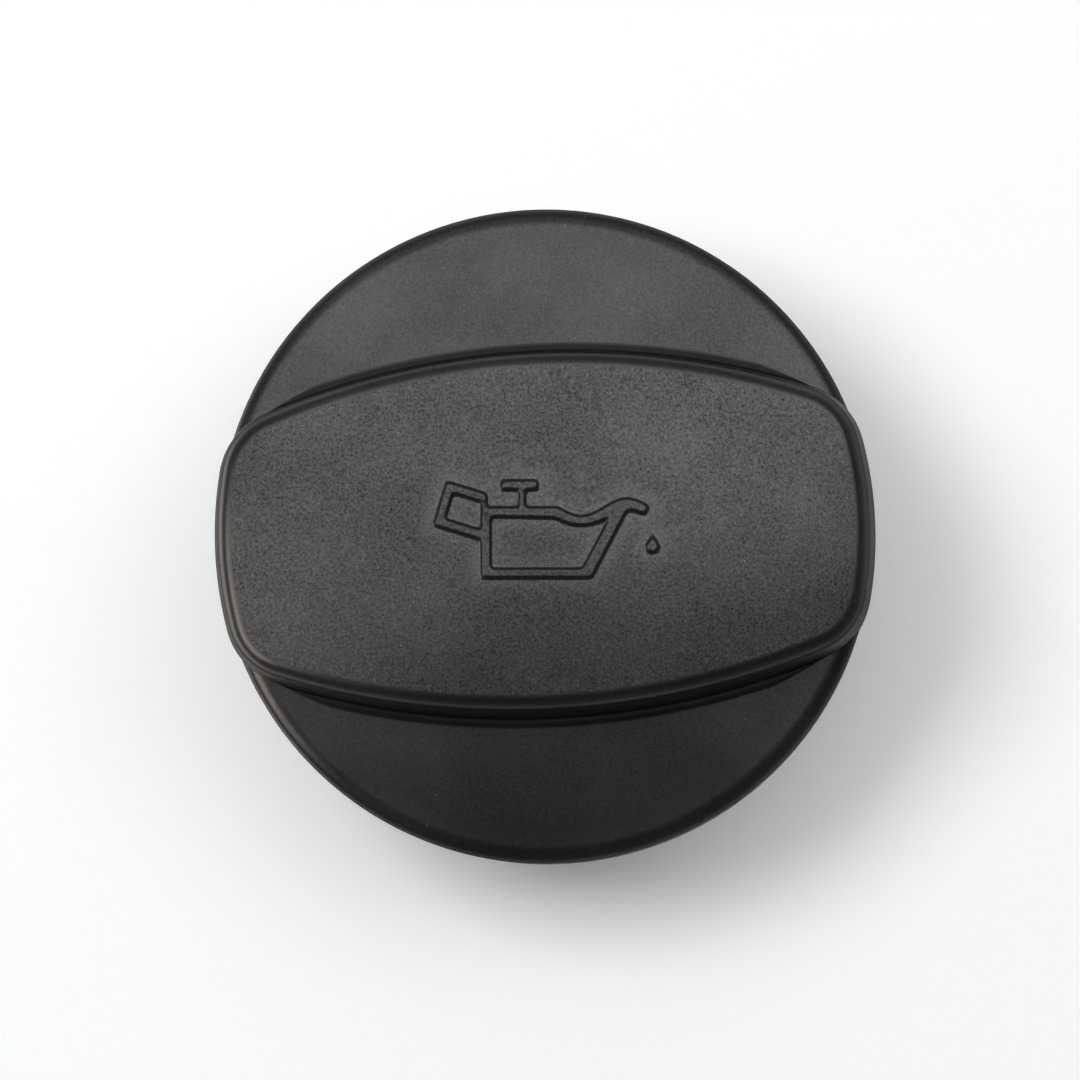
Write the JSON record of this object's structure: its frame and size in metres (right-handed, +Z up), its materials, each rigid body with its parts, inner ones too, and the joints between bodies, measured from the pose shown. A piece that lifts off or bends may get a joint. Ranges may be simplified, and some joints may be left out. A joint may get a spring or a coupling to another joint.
{
  "type": "oil filler cap",
  "caption": "Round quarter-turn oil filler cap with a raised barrel-shaped handle, an oil can sign, a bayonet plug and a sealing ring.",
  "frame": {"origin": "middle of the plug's lower rim, on which the cap stands", "axes": "+Z up, out of the handle's top; +X along the handle; +Y across it, towards the upper side of the oil can sign"},
  "size_m": [0.0644, 0.064, 0.0351],
  "materials": {
    "cover_plastic": "black glass-filled nylon, moulded with a fine spark-eroded grain on the handle's top",
    "plug_plastic": "black glass-filled nylon, smooth from the mould",
    "seal_rubber": "black nitrile rubber, satin"
  },
  "bodies": {
    "root": {"handle_cover": "cover_plastic", "bayonet_plug": "plug_plastic", "sealing_ring": "seal_rubber"}
  },
  "joints": []
}
